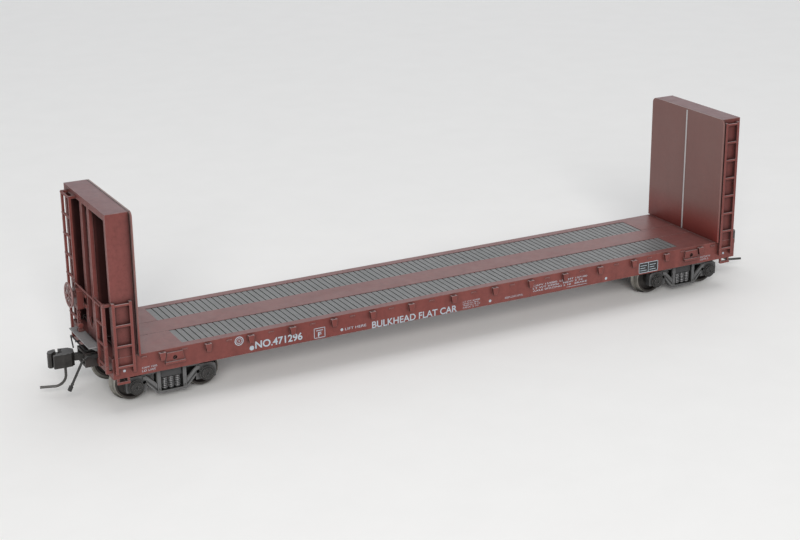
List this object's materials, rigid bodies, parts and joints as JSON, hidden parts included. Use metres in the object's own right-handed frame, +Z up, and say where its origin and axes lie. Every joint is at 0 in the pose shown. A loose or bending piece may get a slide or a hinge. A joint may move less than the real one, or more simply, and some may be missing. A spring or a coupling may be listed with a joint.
{
  "type": "model flat car",
  "caption": "Model railway flat car with a tall bulkhead at each end, ladders, side stake pockets, hand brake, swivelling trucks with turning wheels and swinging knuckle couplers.",
  "frame": {"origin": "centre of the car in plan, at the lowest point of the wheel flanges (bottom of the bounding box)", "axes": "+X along the car towards its A end, -X is the hand brake (B) end, +Y across the car, +Z up; the rail head is 0.64 mm above the origin"},
  "size_m": [0.2288, 0.0358, 0.0543],
  "materials": {
    "body_red": "matte, light sheen",
    "strip_grey": "matte",
    "truck_grey": "matte",
    "wheel_metal": "satin tread, dark face",
    "axle_dark": "satin",
    "coupler_metal": "satin",
    "pin_steel": "satin",
    "spring_bronze": "satin",
    "screw_steel": "satin",
    "draft_black": "matte",
    "platform_grey": "matte",
    "hose_black": "matte"
  },
  "bodies": {
    "carbody": {"air_hoses": "hose_black", "air_reservoir": "body_red", "brake_bell_crank": "body_red", "brake_chain": "body_red", "brake_cylinder": "body_red", "brake_housing": "body_red", "brake_lever": "body_red", "bulkhead_face_a": "body_red", "bulkhead_face_b": "body_red", "bulkhead_frame_a": "body_red", "bulkhead_frame_b": "body_red", "centring_springs": "spring_bronze", "control_valve": "body_red", "deck_body": "body_red", "draft_box_a": "draft_black", "draft_box_b": "draft_black", "draft_box_lids": "draft_black", "draft_box_screws": "screw_steel", "end_grab_bars": "body_red", "end_ladder_short_a": "body_red", "end_ladder_short_b": "body_red", "end_ladder_tall_a": "body_red", "end_ladder_tall_b": "body_red", "end_platform": "platform_grey", "floor_strip_left": "strip_grey", "floor_strip_right": "strip_grey", "side_ladder_short_a": "body_red", "side_ladder_short_b": "body_red", "side_ladder_tall_a": "body_red", "side_ladder_tall_b": "body_red", "sill_steps": "body_red", "train_line": "body_red", "truck_screws": "screw_steel", "uncoupling_levers": "hose_black", "underframe": "body_red"},
    "truck_b": {"truck_bolster_b": "truck_grey", "side_frame_left_b": "truck_grey", "side_frame_right_b": "truck_grey", "truck_springs_b": "truck_grey"},
    "truck_a": {"truck_bolster_a": "truck_grey", "side_frame_left_a": "truck_grey", "side_frame_right_a": "truck_grey", "truck_springs_a": "truck_grey"},
    "wheelset_1": {"axle_1": "axle_dark", "wheels_1": "wheel_metal"},
    "wheelset_2": {"axle_2": "axle_dark", "wheels_2": "wheel_metal"},
    "wheelset_3": {"axle_3": "axle_dark", "wheels_3": "wheel_metal"},
    "wheelset_4": {"axle_4": "axle_dark", "wheels_4": "wheel_metal"},
    "draft_coupler_b": {"coupler_b": "coupler_metal"},
    "coupler_knuckle_b": {"knuckle_b": "coupler_metal", "trip_pin_b": "pin_steel"},
    "draft_coupler_a": {"coupler_a": "coupler_metal"},
    "coupler_knuckle_a": {"knuckle_a": "coupler_metal", "trip_pin_a": "pin_steel"},
    "hand_brake_wheel": {"brake_wheel": "body_red", "brake_spindle": "body_red"}
  },
  "joints": [
    {"name": "truck_swivel_b", "type": "hinge", "parent": "carbody", "child": "truck_b", "pos_m": [-0.0837, 0, 0.01004], "axis": [0, 0, 1], "range_deg": [-12, 12]},
    {"name": "truck_swivel_a", "type": "hinge", "parent": "carbody", "child": "truck_a", "pos_m": [0.0837, 0, 0.01004], "axis": [0, 0, 1], "range_deg": [-12, 12]},
    {"name": "axle_spin_1", "type": "hinge", "parent": "truck_b", "child": "wheelset_1", "pos_m": [-0.0936, 0, 0.00545], "axis": [0, 1, 0], "continuous": true},
    {"name": "axle_spin_2", "type": "hinge", "parent": "truck_b", "child": "wheelset_2", "pos_m": [-0.0738, 0, 0.00545], "axis": [0, 1, 0], "continuous": true},
    {"name": "axle_spin_3", "type": "hinge", "parent": "truck_a", "child": "wheelset_3", "pos_m": [0.0738, 0, 0.00545], "axis": [0, 1, 0], "continuous": true},
    {"name": "axle_spin_4", "type": "hinge", "parent": "truck_a", "child": "wheelset_4", "pos_m": [0.0936, 0, 0.00545], "axis": [0, 1, 0], "continuous": true},
    {"name": "coupler_swing_b", "type": "hinge", "parent": "carbody", "child": "draft_coupler_b", "pos_m": [-0.0985, 0, 0.01109], "axis": [0, 0, 1], "range_deg": [-1, 21]},
    {"name": "knuckle_open_b", "type": "hinge", "parent": "draft_coupler_b", "child": "coupler_knuckle_b", "pos_m": [-0.10849, 0.00323, 0.01109], "axis": [0, 0, 1], "range_deg": [-20, 0], "stiffness_Nm_per_rad": 0.00002},
    {"name": "coupler_swing_a", "type": "hinge", "parent": "carbody", "child": "draft_coupler_a", "pos_m": [0.0985, 0, 0.01109], "axis": [0, 0, 1], "range_deg": [-1, 21]},
    {"name": "knuckle_open_a", "type": "hinge", "parent": "draft_coupler_a", "child": "coupler_knuckle_a", "pos_m": [0.10849, -0.00323, 0.01109], "axis": [0, 0, 1], "range_deg": [-20, 0], "stiffness_Nm_per_rad": 0.00002},
    {"name": "brake_wheel_turn", "type": "hinge", "parent": "carbody", "child": "hand_brake_wheel", "pos_m": [-0.1039, 0.0061, 0.02664], "axis": [1, 0, 0], "continuous": true}
  ]
}
